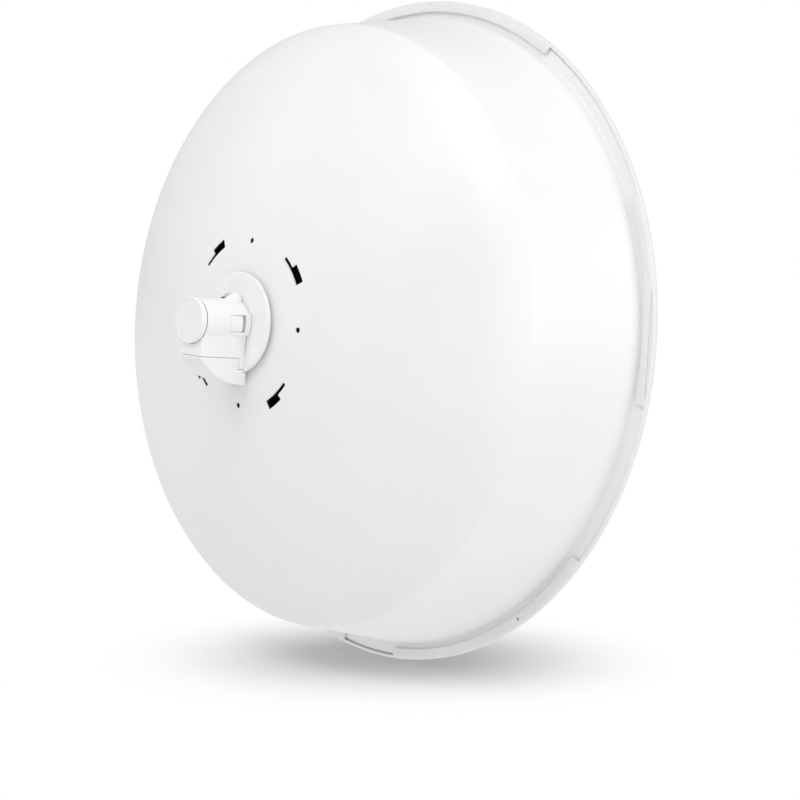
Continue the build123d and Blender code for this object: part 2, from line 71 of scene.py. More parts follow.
# ---------------------------------------------------------------- dish
SHEET = 1.2
FOCAL_LENGTH = 250.0
VERTEX_Y = dish_low.y
BOWL_RADIUS = 256.0
SHOULDER_RADIUS = 90.0
SHOULDER_ANGLE = math.radians(52.0)
CREASE_RADIUS = 12.0
SKIRT_ANGLE = math.radians(10.6)
FLANGE_FRONT_Y = dish_high.y
FLANGE_RADIUS = dish_high.x
FLANGE_BEND = 3.8
DISH_BORE = 24.0
HOLE_CIRCLE = 77.0
HOLE_RADIUS = 2.6
SLOT_INNER, SLOT_STEP, SLOT_OUTER = 79.2, 82.8, 88.0
SLOT_TAIL, SLOT_SHOULDER, SLOT_HEAD = 38.0, 47.5, 60.0  # clock angles, clockwise seen from behind
SLOT_CORNER = 0.7
FLANGE_EDGE = 0.3
CUT_REAR_Y, CUT_FRONT_Y = VERTEX_Y - 5, VERTEX_Y + 20  # reach of the cutters through the bowl
FINE_TURN = 384  # sides of the large turned shapes

# ---------------------------------------------------------------- radome cover
RIM_RADIUS = cover_high.x
BAND_WALL = 2.6
BAND_REAR_Y = 201.0
BAND_FRONT_Y = 205.0
BAND_EDGE = 3.0
COVER_WALL = 2.2
DOME_RISE = cover_high.y - BAND_FRONT_Y - BAND_EDGE
LIP_INNER, LIP_OUTER = 314.4, 324.0
LIP_REAR_Y = cover_low.y
LIP_THICKNESS = 3.2
LIP_CORNER = 4.0
LIP_CLEAR = 312.4
ROUND_LIPS = ((-30.5, 30.5), (125.5, 174.6), (188.0, 234.5))
BENT_LIPS = ((63.1, 77.2, 96.9), (-63.1, -77.2, -96.9))
DRAINS = (142.3, 217.7)
DRAIN_RADIUS = 1.6
DRAIN_CIRCLE = LIP_INNER + 5.5
NOTCH_DEPTH, NOTCH_HALF, NOTCH_REACH = 4.4, 3.6, 5.5
LIP_EDGE = 0.9
WEB_THICKNESS = 1.3

# ---------------------------------------------------------------- rear housing
DISC_RADIUS = disc_high.x
DISC_REAR_Y, DISC_FLOOR_Y, DISC_FRONT_Y = disc_low.y, -9.7, -6.9
SLEEVE_INNER, SLEEVE_OUTER, SLEEVE_FRONT_Y = 20.5, 23.6, disc_high.y
BARREL_RADIUS = 20.8
BARREL_BORE = 18.7
BARREL_FRONT_Y = barrel_high.y
LID_RADIUS = lid_high.x
LID_REAR_Y, LID_SEAM_Y = lid_low.y, lid_high.y
BOX_HALF = door_high.x
BOX_REAR_Y, BOX_FRONT_Y = -60.6, -10.2
BOX_WALL = 2.0
BOX_CORNER = 1.8
BOX_ROOF_Z = -22.8
SEAM_Z, SEAM_GAP = -31.8, 0.35
COLLAR_REAR_Y, COLLAR_BOTTOM_Z = -16.0, barrel_low.z
BOSS_AXIS_Z, BOSS_RADIUS = 19.3, 8.9
BOSS_REAR_Y, BOSS_FRONT_Y = -34.2, -10.02
BOSS_WIDEST_Y = BOSS_FRONT_Y - 6.0
BUTTON_HOLE_WIDTH, BUTTON_HOLE_LENGTH = 6.5, 12.8
POCKET_DEPTH = 1.4  # a little more than the button's stroke
LATCH_HALF = 7.4
LATCH_REACH = 30.0  # degrees, before its long edges are trimmed straight
LATCH_REAR_Y, LATCH_FRONT_Y = -31.3, -18.0
LATCH_INNER, TOOTH_RADIUS = 18.9, 21.2
LATCH_GAP = 0.3
TOOTH_LENGTH = 6.0
WINDOW_INNER_X, WINDOW_OUTER_X = 16.0, 26.0
GUARD_RADIUS, GUARD_REAR_Y = 23.3, -27.5
GUARD_BAR_REAR_Y, GUARD_BAR_FRONT_Y = -15.4, -10.1
GUARD_INSIDE, GUARD_OUTSIDE = 21.5, 27.0  # degrees from the side

# ---------------------------------------------------------------- cable door
DOOR_BOTTOM_Z, DOOR_FRONT_Y = door_low.z, door_high.y
DOOR_WALL = 2.0
BELLY_END_Y = -11.0
TONGUE_TOP_Z = door_high.z
TONGUE_REAR_Y, TONGUE_FRONT_Y = -54.0, -28.0
CABLE_HOLE_Y, CABLE_HOLE_RADIUS = -14.6, 3.8
TONGUE_THICKNESS = 1.6
GROMMET_SINK = 0.7  # the ring sits this far above the door's underside
RECESS_DEPTH = 0.5
RECESS_REAR_Y, RECESS_FRONT_Y, RECESS_BOTTOM_Z = -28.5, -17.6, -42.3
ARROW = ((-26.0, -37.3), (-22.3, -38.5), (-18.6, -37.3), (-22.3, -39.8))  # (y, z) corners
ARROW_SINK = 0.05

# ---------------------------------------------------------------- mesh tools


def apply_modifiers(piece):
    """Puts the result of a piece's modifiers into its mesh."""
    shown = piece.evaluated_get(bpy.context.evaluated_depsgraph_get())
    mesh = bpy.data.meshes.new_from_object(shown)
    piece.modifiers.clear()
    piece.data = mesh
    return piece


def new_piece(name, bm):
    """Object from a bmesh drawn in millimetres."""
    bmesh.ops.recalc_face_normals(bm, faces=bm.faces)
    bmesh.ops.scale(bm, vec=(MM, MM, MM), verts=bm.verts)
    mesh = bpy.data.meshes.new(name)
    bm.to_mesh(mesh)
    bm.free()
    piece = bpy.data.objects.new(name, mesh)
    bpy.context.scene.collection.objects.link(piece)
    return piece


def rounded(points, radius, steps=6):
    """Closed outline with its corners rounded. radius is one number, or one per corner."""
    count = len(points)
    radii = radius if isinstance(radius, (list, tuple)) else [radius] * count
    result = []
    for index, corner in enumerate(points):
        here = Vector(corner)
        back = Vector(points[index - 1]) - here
        ahead = Vector(points[(index + 1) % count]) - here
        angle = back.angle(ahead)
        if radii[index] <= 0 or angle > math.pi - 0.02:
            result.append(tuple(here))
            continue
        reach = min(radii[index] / math.tan(angle / 2), 0.49 * min(back.length, ahead.length))
        back.normalize()
        ahead.normalize()
        centre = here + (back + ahead).normalized() * (reach / math.cos(angle / 2))
        first = here + back * reach - centre
        last = here + ahead * reach - centre
        turn = math.pi - angle
        side = 1 if first.x * last.y - first.y * last.x > 0 else -1
        for step in range(steps + 1):
            a = side * turn * step / steps
            c, s = math.cos(a), math.sin(a)
            result.append((centre.x + first.x * c - first.y * s, centre.y + first.x * s + first.y * c))
    return result


def lathe(name, outline, segments=256, axis=(0.0, 0.0)):
    """Solid turned about the beam axis, or about a line beside it, from (radius, y) points."""
    bm = bmesh.new()
    rings = []
    for radius, y in outline:
        if radius < 1e-6:
            rings.append([bm.verts.new((axis[0], y, axis[1]))])
            continue
        ring = []
        for k in range(segments):
            a = 2 * math.pi * k / segments
            x, z = axis[0] + radius * math.sin(a), axis[1] + radius * math.cos(a)
            ring.append(bm.verts.new((x, y, z)))
        rings.append(ring)
    for index, ring in enumerate(rings):
        other = rings[(index + 1) % len(rings)]
        if len(ring) == 1 and len(other) == 1:
            continue
        for k in range(segments):
            n = (k + 1) % segments
            if len(ring) == 1:
                bm.faces.new((ring[0], other[k], other[n]))
            elif len(other) == 1:
                bm.faces.new((ring[k], ring[n], other[0]))
            else:
                bm.faces.new((ring[k], ring[n], other[n], other[k]))
    return new_piece(name, bm)


def turned_z(name, outline, centre_y, segments=96):
    """Solid turned about an upright line, from (radius, z) points."""
    piece = lathe(name, outline, segments)
    turn = Matrix(((1, 0, 0, 0), (0, 0, -1, centre_y * MM), (0, 1, 0, 0), (0, 0, 0, 1)))
    piece.data.transform(turn)
    return piece


def across(u, v, w):
    """Outline in x and z, thickness along the beam."""
    return (u, w, v)


def sideways(u, v, w):
    """Outline in y and z, thickness along x."""
    return (w, u, v)


def upright(u, v, w):
    """Outline in x and y, thickness along z."""
    return (u, v, w)


def prism(name, outline, low, high, place):
    """Solid with a flat outline, from low to high along the third axis."""
    bm = bmesh.new()
    first = [bm.verts.new(place(u, v, low)) for u, v in outline]
    last = [bm.verts.new(place(u, v, high)) for u, v in outline]
    bm.faces.new(first)
    bm.faces.new(last)
    for index in range(len(outline)):
        after = (index + 1) % len(outline)
        bm.faces.new((first[index], first[after], last[after], last[index]))
    return new_piece(name, bm)


def rectangle(u0, u1, v0, v1):
    """Corners of a rectangle."""
    return [(u0, v0), (u1, v0), (u1, v1), (u0, v1)]


def clock(radius, degrees):
    """(x, z) at a clock angle, clockwise from the top, seen from behind."""
    a = math.radians(degrees)
    return (radius * math.sin(a), radius * math.cos(a))


def arc(radius, start, end, step=0.75):
    """Points along a clock arc."""
    count = max(2, int(abs(end - start) / step))
    return [clock(radius, start + (end - start) * k / count) for k in range(count + 1)]


def sector(name, inner, outer, rear_y, front_y, start, end, step=0.75):
    """Part of a ring."""
    outline = arc(outer, start, end, step) + arc(inner, end, start, step)
    return prism(name, outline, rear_y, front_y, across)


def join(pieces):
    """One object from several. Where they overlap, a later remesh or boolean merges them."""
    bm = bmesh.new()
    for piece in pieces:
        bm.from_mesh(piece.data)
    mesh = bpy.data.meshes.new(pieces[0].name)
    bm.to_mesh(mesh)
    bm.free()
    pieces[0].data = mesh
    for piece in pieces[1:]:
        bpy.data.objects.remove(piece)
    return pieces[0]


def combine(target, tools, operation):
    """Boolean of the target with each tool in turn. The tools are used up."""
    for tool in tools:
        modifier = target.modifiers.new("combine", "BOOLEAN")
        modifier.operation = operation
        modifier.solver = "EXACT"
        modifier.object = tool
        apply_modifiers(target)
        bpy.data.objects.remove(tool)
    return target


def bevel(piece, width, steps=3, limit=30.0):
    """Rounds a piece's sharp edges."""
    modifier = piece.modifiers.new("bevel", "BEVEL")
    modifier.width = width * MM
    modifier.segments = steps
    modifier.limit_method = "ANGLE"
    modifier.angle_limit = math.radians(limit)
    return apply_modifiers(piece)


def mould(piece, grain, passes, keep=0.5):
    """Rounds every edge a little, as a mould does: remesh at the grain size, smooth, then thin out."""
    modifier = piece.modifiers.new("remesh", "REMESH")
    modifier.mode = "VOXEL"
    modifier.voxel_size = grain * MM
    modifier = piece.modifiers.new("smooth", "SMOOTH")
    modifier.factor = 0.5
    modifier.iterations = passes
    modifier = piece.modifiers.new("thin", "DECIMATE")
    modifier.ratio = keep
    return apply_modifiers(piece)


def smooth(piece, limit=35.0):
    """Smooth shading with sharp edges kept."""
    piece.data.shade_smooth()
    piece.data.set_sharp_from_angle(angle=math.radians(limit))
    return piece


def offset_path(points, distance):
    """An open path moved sideways by a distance, to the left of its direction."""
    result = []
    for index, point in enumerate(points):
        before = Vector(points[max(index - 1, 0)])
        after = Vector(points[min(index + 1, len(points) - 1)])
        along = (after - before).normalized()
        result.append((point[0] - along.y * distance, point[1] + along.x * distance))
    return result


# ---------------------------------------------------------------- materials


class Material:
    """A node material built step by step. Texture sizes are in millimetres."""

    def __init__(self, name, colour, roughness, metallic=0.0):
        self.material = bpy.data.materials.new(name)
        self.material.use_nodes = True
        self.nodes = self.material.node_tree.nodes
        self.links = self.material.node_tree.links
        self.shader = self.nodes["Principled BSDF"]
        self.shader.inputs["Metallic"].default_value = metallic
        self.place = self.nodes.new("ShaderNodeTexCoord").outputs["Object"]
        self.colour = self.constant_colour(colour)
        self.roughness = self.constant(roughness)
        self.height = None

    def constant(self, value):
        node = self.nodes.new("ShaderNodeValue")
        node.outputs[0].default_value = value
        return node.outputs[0]

    def constant_colour(self, colour):
        node = self.nodes.new("ShaderNodeRGB")
        node.outputs[0].default_value = (*colour, 1.0)
        return node.outputs[0]

    def noise(self, size, detail=3.0, stretch=(1.0, 1.0, 1.0)):
        """Noise with features of about the given size."""
        mapping = self.nodes.new("ShaderNodeMapping")
        mapping.inputs["Scale"].default_value = stretch
        self.links.new(self.place, mapping.inputs["Vector"])
        node = self.nodes.new("ShaderNodeTexNoise")
        node.inputs["Scale"].default_value = 1.0 / (size * MM)
        node.inputs["Detail"].default_value = detail
        self.links.new(mapping.outputs[0], node.inputs["Vector"])
        return node.outputs["Fac"]

    def cells(self, size):
        """Distance inside cells of about the given size."""
        node = self.nodes.new("ShaderNodeTexVoronoi")
        node.inputs["Scale"].default_value = 1.0 / (size * MM)
        self.links.new(self.place, node.inputs["Vector"])
        return node.outputs["Distance"]

    def edges(self, start, end):
        """0 on flat surface, 1 on worn outer edges."""
        geometry = self.nodes.new("ShaderNodeNewGeometry")
        return self.ramp(geometry.outputs["Pointiness"], start, end)

    def ramp(self, value, start, end, kind="LINEAR"):
        node = self.nodes.new("ShaderNodeMapRange")
        node.interpolation_type = kind
        node.inputs["From Min"].default_value = start
        node.inputs["From Max"].default_value = end
        self.links.new(value, node.inputs["Value"])
        return node.outputs[0]

    def times(self, first, second):
        node = self.nodes.new("ShaderNodeMath")
        node.operation = "MULTIPLY"
        self.links.new(first, node.inputs[0])
        if isinstance(second, float):
            node.inputs[1].default_value = second
        else:
            self.links.new(second, node.inputs[1])
        return node.outputs[0]

    def tint(self, share, colour):
        """Mixes a colour in where share is 1."""
        node = self.nodes.new("ShaderNodeMix")
        node.data_type = "RGBA"
        self.links.new(share, node.inputs["Factor"])
        self.links.new(self.colour, node.inputs["A"])
        node.inputs["B"].default_value = (*colour, 1.0)
        self.colour = node.outputs["Result"]
        return self

    def roughen(self, share, amount):
        """Adds to the roughness where share is 1."""
        node = self.nodes.new("ShaderNodeMath")
        node.operation = "MULTIPLY_ADD"
        self.links.new(share, node.inputs[0])
        node.inputs[1].default_value = amount
        self.links.new(self.roughness, node.inputs[2])
        self.roughness = node.outputs[0]
        return self

    def raise_by(self, value, depth):
        """Adds a height, in millimetres, to the bump."""
        scaled = self.times(value, depth * MM)
        if self.height is None:
            self.height = scaled
            return self
        node = self.nodes.new("ShaderNodeMath")
        node.operation = "ADD"
        self.links.new(scaled, node.inputs[0])
        self.links.new(self.height, node.inputs[1])
        self.height = node.outputs[0]
        return self

    def done(self, **inputs):
        self.links.new(self.colour, self.shader.inputs["Base Color"])
        self.links.new(self.roughness, self.shader.inputs["Roughness"])
        if self.height is not None:
            bump = self.nodes.new("ShaderNodeBump")
            bump.inputs["Distance"].default_value = 1.0
            self.links.new(self.height, bump.inputs["Height"])
            self.links.new(bump.outputs[0], self.shader.inputs["Normal"])
        for name, value in inputs.items():
            self.shader.inputs[name.replace("_", " ")].default_value = value
        return self.material


def powder_coat():
    """Satin white powder coat with faint orange peel and a few matt patches."""
    m = Material("powder_coat", (0.86, 0.865, 0.875), 0.36)
    m.tint(m.ramp(m.noise(120.0, 2.0), 0.35, 0.75), (0.835, 0.84, 0.85))
    m.tint(m.ramp(m.noise(1.2, 4.0), 0.68, 0.9), (0.8, 0.8, 0.81))
    m.roughen(m.ramp(m.noise(35.0, 3.0), 0.3, 0.8), 0.07)
    m.tint(m.edges(0.56, 0.7), (0.9, 0.9, 0.9))
    m.raise_by(m.noise(2.4, 2.0), 0.012)
    m.raise_by(m.noise(0.5, 2.0), 0.004)
    return m.done()


def moulded(name, colour, shade, roughness, grain=0.35, depth=0.006):
    """Moulded plastic: fine spark texture, slight flow variation, paler rubbed edges."""
    m = Material(name, colour, roughness)
    m.tint(m.ramp(m.noise(18.0, 3.0), 0.35, 0.75), shade)
    m.tint(m.ramp(m.noise(0.8, 4.0), 0.66, 0.85), tuple(c * 0.94 for c in colour))
    m.roughen(m.ramp(m.noise(6.0, 3.0), 0.3, 0.8), 0.08)
    worn = m.edges(0.53, 0.62)
    m.tint(m.times(worn, 0.6), tuple(min(1.0, c * 1.06 + 0.01) for c in colour))
    m.roughen(worn, -0.08)
    m.raise_by(m.noise(grain, 2.0), depth)
    m.raise_by(m.noise(grain * 7, 2.0), depth * 0.8)
    return m.done()


def rubber():
    """Dark moulded rubber with a dusty bloom."""
    m = Material("moulded_rubber", (0.025, 0.025, 0.027), 0.62)
    m.tint(m.ramp(m.noise(4.0, 5.0), 0.5, 0.8), (0.06, 0.058, 0.055))
    m.roughen(m.ramp(m.noise(2.0, 4.0), 0.3, 0.8), 0.15)
    m.raise_by(m.noise(0.5, 3.0), 0.02)
    return m.done()


def foam():
    """Closed cell foam."""
    m = Material("cell_foam", (0.06, 0.06, 0.062), 0.85)
    m.tint(m.ramp(m.cells(0.9), 0.2, 0.6), (0.11, 0.11, 0.115))
    m.raise_by(m.cells(0.9), 0.15)
    m.raise_by(m.noise(3.0, 3.0), 0.1)
    return m.done()


def metal(name, colour, roughness, stretch, streak=0.3):
    """Metal with brushed or drawn lines, smudges and brighter edges."""
    m = Material(name, colour, roughness, 1.0)
    lines = m.noise(streak, 4.0, stretch)
    m.tint(m.ramp(lines, 0.35, 0.8), tuple(c * 0.8 for c in colour))
    m.roughen(m.ramp(m.noise(5.0, 4.0), 0.3, 0.8), 0.16)
    m.tint(m.edges(0.54, 0.62), tuple(min(1.0, c * 1.15) for c in colour))
    m.raise_by(lines, 0.006)
    return m.done()


def laminate():
    """Green solder mask over a woven laminate, with copper lines showing through."""
    m = Material("board_laminate", (0.02, 0.12, 0.06), 0.32)
    m.tint(m.ramp(m.noise(2.6, 1.0, (1.0, 0.25, 1.0)), 0.5, 0.53), (0.04, 0.19, 0.09))
    m.tint(m.ramp(m.noise(1.1, 0.0), 0.7, 0.72), (0.62, 0.6, 0.5))
    m.roughen(m.ramp(m.noise(1.5, 2.0), 0.3, 0.8), 0.12)
    m.raise_by(m.noise(2.6, 1.0, (1.0, 0.25, 1.0)), 0.03)
    m.raise_by(m.cells(0.5), 0.01)
    return m.done(Coat_Weight=0.3)


def component_epoxy():
    """Black epoxy and sleeve, with ground-off grain."""
    m = Material("component_epoxy", (0.03, 0.03, 0.033), 0.45)
    m.tint(m.ramp(m.noise(1.5, 5.0), 0.5, 0.75), (0.065, 0.065, 0.07))
    m.tint(m.edges(0.55, 0.65), (0.12, 0.12, 0.12))
    m.roughen(m.ramp(m.noise(3.0, 3.0), 0.3, 0.8), 0.2)
    m.raise_by(m.noise(0.25, 2.0), 0.008)
    return m.done()


SLOT_MATERIALS = {
    "dish_paint": powder_coat(),
    "radome_plastic": moulded(
        "radome_plastic", (0.8, 0.804, 0.81), (0.775, 0.78, 0.787), 0.42, grain=0.5, depth=0.008
    ),
    "housing_plastic": moulded("housing_plastic", (0.88, 0.883, 0.887), (0.855, 0.858, 0.863), 0.4),
    "cap_plastic": moulded(
        "cap_plastic", (0.86, 0.864, 0.872), (0.84, 0.845, 0.853), 0.34, grain=0.3, depth=0.003
    ),
    "inner_plastic": moulded("inner_plastic", (0.7, 0.7, 0.68), (0.64, 0.64, 0.62), 0.5),
    "button_plastic": moulded("button_plastic", (0.03, 0.03, 0.033), (0.05, 0.05, 0.052), 0.45),
    "seal_foam": foam(),
    "gasket_rubber": rubber(),
    "spring_steel": metal("spring_steel", (0.56, 0.56, 0.58), 0.25, (1.0, 1.0, 4.0)),
    "jack_metal": metal("jack_metal", (0.6, 0.61, 0.63), 0.28, (1.0, 1.0, 0.1)),
    "contact_gold": metal("contact_gold", (0.83, 0.62, 0.25), 0.22, (1.0, 1.0, 0.2)),
    "board_laminate": laminate(),
    "component_black": component_epoxy(),
    "can_steel": metal("can_steel", (0.66, 0.67, 0.68), 0.3, (1.0, 0.15, 1.0)),
    "spreader_aluminium": metal("spreader_aluminium", (0.72, 0.73, 0.75), 0.34, (1.0, 0.05, 1.0)),
    "coax_copper": metal("coax_copper", (0.72, 0.42, 0.26), 0.28, (1.0, 0.05, 1.0)),
}
NODE_SLOT = {row["node"]: row["material_slot"] for row in record["subparts"]}
NODE_BODY = {node: body for body, nodes in record["behaviour"]["bodies"].items() for node in nodes}

for node_name, node_object in frame["nodes"].items():
    node_object.data.materials.clear()
    node_object.data.materials.append(SLOT_MATERIALS[NODE_SLOT[node_name]])


def stand_for(piece, node):
    """The piece replaces a CAD node: same body, same material slot."""
    piece.data.materials.clear()
    piece.data.materials.append(SLOT_MATERIALS[NODE_SLOT[node]])
    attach(piece, NODE_BODY[node])
    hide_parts(node)
    return piece


# ---------------------------------------------------------------- dish


def dish_path():
    """(radius, y) points along the dish's back surface, from the bore to the flange's edge."""
    points = []
    steps = 44
    for k in range(steps + 1):
        radius = DISH_BORE + (BOWL_RADIUS - DISH_BORE) * k / steps
        points.append((radius, VERTEX_Y + radius**2 / (4 * FOCAL_LENGTH)))
    lean = math.atan(BOWL_RADIUS / (2 * FOCAL_LENGTH))
    steep = math.pi / 2 - SKIRT_ANGLE
    bends = ((lean, SHOULDER_ANGLE, SHOULDER_RADIUS), (SHOULDER_ANGLE, steep, CREASE_RADIUS))
    for start, stop, bend in bends:
        end_radius, end_y = points[-1]
        steps = 14
        for k in range(1, steps + 1):
            a = start + (stop - start) * k / steps
            radius = end_radius + bend * (math.sin(a) - math.sin(start))
            points.append((radius, end_y + bend * (math.cos(start) - math.cos(a))))
    corner_radius, corner_y = points[-1]
    flange_y = FLANGE_FRONT_Y - SHEET
    top_radius = corner_radius + (flange_y - corner_y) * math.tan(SKIRT_ANGLE)
    reach = FLANGE_BEND * math.tan(steep / 2)
    centre = (top_radius + reach, flange_y - FLANGE_BEND)
    steps = 8
    for k in range(steps + 1):
        a = SKIRT_ANGLE + steep * k / steps
        points.append((centre[0] - FLANGE_BEND * math.cos(a), centre[1] + FLANGE_BEND * math.sin(a)))
    points.append((FLANGE_RADIUS - FLANGE_EDGE, flange_y))
    points.append((FLANGE_RADIUS, flange_y + FLANGE_EDGE))
    return points


def slot_cutter(turn):
    """Bayonet slot: a wide head and a narrow tail."""
    outline = arc(SLOT_INNER, turn + SLOT_TAIL, turn + SLOT_HEAD, 1.0)
    outline += arc(SLOT_OUTER, turn + SLOT_HEAD, turn + SLOT_SHOULDER, 1.0)
    outline += arc(SLOT_STEP, turn + SLOT_SHOULDER, turn + SLOT_TAIL, 1.0)
    return prism("slot_cutter", rounded(outline, SLOT_CORNER, 4), CUT_REAR_Y, CUT_FRONT_Y, across)


def build_dish():
    """Pressed bowl with flange, bracket holes and bayonet slots."""
    back = dish_path()
    front = offset_path(back, SHEET)
    front[-1] = (FLANGE_RADIUS, FLANGE_FRONT_Y - FLANGE_EDGE)
    front[-2] = (FLANGE_RADIUS - FLANGE_EDGE, FLANGE_FRONT_Y)
    dish = lathe("dish", back + front[::-1], FINE_TURN)
    cutters = []
    for quarter in range(4):
        turn = 90.0 * quarter
        cutters.append(slot_cutter(turn))
        x, z = clock(HOLE_CIRCLE, turn)
        outline = rectangle(0, HOLE_RADIUS, CUT_REAR_Y, CUT_FRONT_Y)
        cutters.append(lathe("hole_cutter", outline, 40, (x, z)))
    combine(dish, [join(cutters)], "DIFFERENCE")
    return stand_for(smooth(dish), "reflector_dish")


# ---------------------------------------------------------------- radome cover


def dome_y(radius, drop):
    """Height of the dome's surface, or of its inside when drop is the wall."""
    edge = RIM_RADIUS - BAND_EDGE
    sphere = (edge**2 + DOME_RISE**2) / (2 * DOME_RISE)
    return cover_high.y - sphere + math.sqrt((sphere - drop) ** 2 - radius**2)


def lip_outline(inner, outer, start, end):
    """Outline of a lip that follows the rim, with its inner corners rounded."""
    outer_side = arc(outer, start, end)
    inner_side = arc(inner, end, start)
    first, last = inner_side[0], inner_side[-1]
    keep = [p for p in inner_side if min(math.dist(p, first), math.dist(p, last)) > LIP_CORNER + 1]
    inner_side = [first] + keep + [last]
    radii = [0.0] * len(outer_side) + [LIP_CORNER] + [0.0] * len(keep) + [LIP_CORNER]
    return rounded(outer_side + inner_side, radii, 6)


def bent_outline(outer_end, bend, inner_end):
    """Outline of a lip that follows the rim to its bend and then runs straight."""
    outer_side = arc(LIP_OUTER, outer_end, bend) + [clock(LIP_OUTER, inner_end)]
    straight = []
    start = Vector(clock(LIP_INNER, inner_end))
    stop = Vector(clock(LIP_INNER, bend))
    for k in range(1, 24):
        spot = start.lerp(stop, k / 24)
        if spot.length < LIP_CLEAR:
            spot = spot.normalized() * LIP_CLEAR
        straight.append(tuple(spot))
    follow = arc(LIP_INNER, bend, outer_end)
    last = follow[-1]
    follow = [p for p in follow if math.dist(p, last) > LIP_CORNER + 1]
    inner_side = [tuple(start)] + straight + follow + [last]
    radii = [0.0] * len(outer_side) + [LIP_CORNER] + [0.0] * (len(inner_side) - 2) + [LIP_CORNER]
    return rounded(outer_side + inner_side, radii, 6)


def build_radome():
    """Domed cover with the rim band and the lips that hook behind the flange."""
    inner_edge = RIM_RADIUS - BAND_WALL
    dome_start = RIM_RADIUS - BAND_EDGE
    outline = [(inner_edge, BAND_REAR_Y + 0.5), (inner_edge + 0.5, BAND_REAR_Y)]
    outline += [(RIM_RADIUS - 0.9, BAND_REAR_Y), (RIM_RADIUS - 0.3, BAND_REAR_Y + 0.25)]
    outline += [(RIM_RADIUS, BAND_REAR_Y + 0.9)]
    steps = 8
    for k in range(steps + 1):
        a = math.pi / 2 * k / steps
        outline.append((dome_start + BAND_EDGE * math.cos(a), BAND_FRONT_Y + BAND_EDGE * math.sin(a)))
    steps = 26
    for k in range(1, steps + 1):
        radius = dome_start * (1 - k / steps)
        outline.append((radius, dome_y(radius, 0.0)))
    for k in range(steps + 1):
        radius = inner_edge * k / steps
        outline.append((radius, dome_y(radius, COVER_WALL)))
    cover = lathe("radome", outline, FINE_TURN)
    front_y = LIP_REAR_Y + LIP_THICKNESS
    lips = []
    for start, end in ROUND_LIPS:
        outline = lip_outline(LIP_INNER, LIP_OUTER, start, end)
        lips.append(prism("lip", outline, LIP_REAR_Y, front_y, across))
    for outer_end, bend, inner_end in BENT_LIPS:
        outline = bent_outline(outer_end, bend, inner_end)
        lips.append(prism("lip", outline, LIP_REAR_Y, front_y, across))
    lips = bevel(join(lips), LIP_EDGE, 3, 50.0)
    webs = []
    for outer_end, bend, inner_end in BENT_LIPS:
        low, high = sorted((bend, inner_end))
        web_front_y = front_y - 0.1
        web_rear_y = front_y - 0.1 - WEB_THICKNESS
        webs.append(sector("web", LIP_CLEAR + 0.4, RIM_RADIUS - 0.6, web_rear_y, web_front_y, low, high))
    combine(cover, [lips], "UNION")
    combine(cover, webs, "UNION")
    for angle in DRAINS:
        x, z = clock(DRAIN_CIRCLE, angle)
        drain = lathe("drain", rectangle(0, DRAIN_RADIUS, LIP_REAR_Y - 1, front_y + 0.2), 32, (x, z))
        combine(cover, [drain], "DIFFERENCE")
    notch_top = RIM_RADIUS + 1
    notch = [(-NOTCH_HALF, notch_top), (NOTCH_HALF, notch_top), (0, RIM_RADIUS - NOTCH_DEPTH)]
    cutter = prism("notch", notch, LIP_REAR_Y - 1, LIP_REAR_Y + NOTCH_REACH, across)
    combine(cover, [cutter], "DIFFERENCE")
    return stand_for(smooth(cover), "radome_cover")


# ---------------------------------------------------------------- housing


def build_flange():
    """Conical base disc with a raised rim and the sleeve through the dish."""
    corners = [
        (SLEEVE_INNER, SLEEVE_FRONT_Y),
        (SLEEVE_OUTER, SLEEVE_FRONT_Y),
        (SLEEVE_OUTER, DISC_FRONT_Y),
        (DISC_RADIUS, DISC_FRONT_Y),
        (DISC_RADIUS, DISC_REAR_Y),
        (39.0, DISC_REAR_Y),
        (28.0, DISC_FLOOR_Y),
        (SLEEVE_INNER, DISC_FLOOR_Y),
    ]
    disc = lathe("base_disc", rounded(corners, [0.4, 0.4, 0.3, 0.5, 1.1, 4.0, 5.0, 0.3], 8), 256)
    return stand_for(smooth(disc), "housing_flange")


def teardrop():
    """(radius, y) points of the boss, from its pointed rear to its front end."""
    points = [(0.0, BOSS_REAR_Y)]
    steps = 22
    for k in range(1, steps + 1):
        share = k / steps
        radius = BOSS_RADIUS * math.sin(share**1.1 * math.pi / 2)
        points.append((radius, BOSS_REAR_Y + (BOSS_WIDEST_Y - BOSS_REAR_Y) * share))
    points.append((BOSS_RADIUS - 0.2, BOSS_FRONT_Y - 3.5))
    points.append((BOSS_RADIUS - 0.9, BOSS_FRONT_Y - 1.4))
    points.append((BOSS_RADIUS - 2.6, BOSS_FRONT_Y))
    points.append((0.0, BOSS_FRONT_Y))
    return points


def guard_parts(side):
    """U shaped rib round a latch's free end. The arms rise gently from the barrel."""
    middle = 90.0 * side
    root = BARREL_RADIUS - 1.0
    rear_y, front_y = GUARD_BAR_REAR_Y, GUARD_BAR_FRONT_Y
    first, last = middle - GUARD_OUTSIDE, middle + GUARD_OUTSIDE
    parts = [sector("guard", root, GUARD_RADIUS, rear_y, front_y, first, last)]
    for start, end in ((-GUARD_OUTSIDE, -GUARD_INSIDE), (GUARD_INSIDE, GUARD_OUTSIDE)):
        arm = sector("arm", root, GUARD_RADIUS, GUARD_REAR_Y, front_y, middle + start, middle + end)
        slope = [
            (BARREL_RADIUS, GUARD_REAR_Y - 0.1),
            (GUARD_RADIUS + 2, GUARD_REAR_Y - 0.1),
            (GUARD_RADIUS + 2, GUARD_REAR_Y + 11.0),
        ]
        ramp = lathe("ramp", slope, 128)
        parts.append(combine(arm, [ramp], "DIFFERENCE"))
    return parts


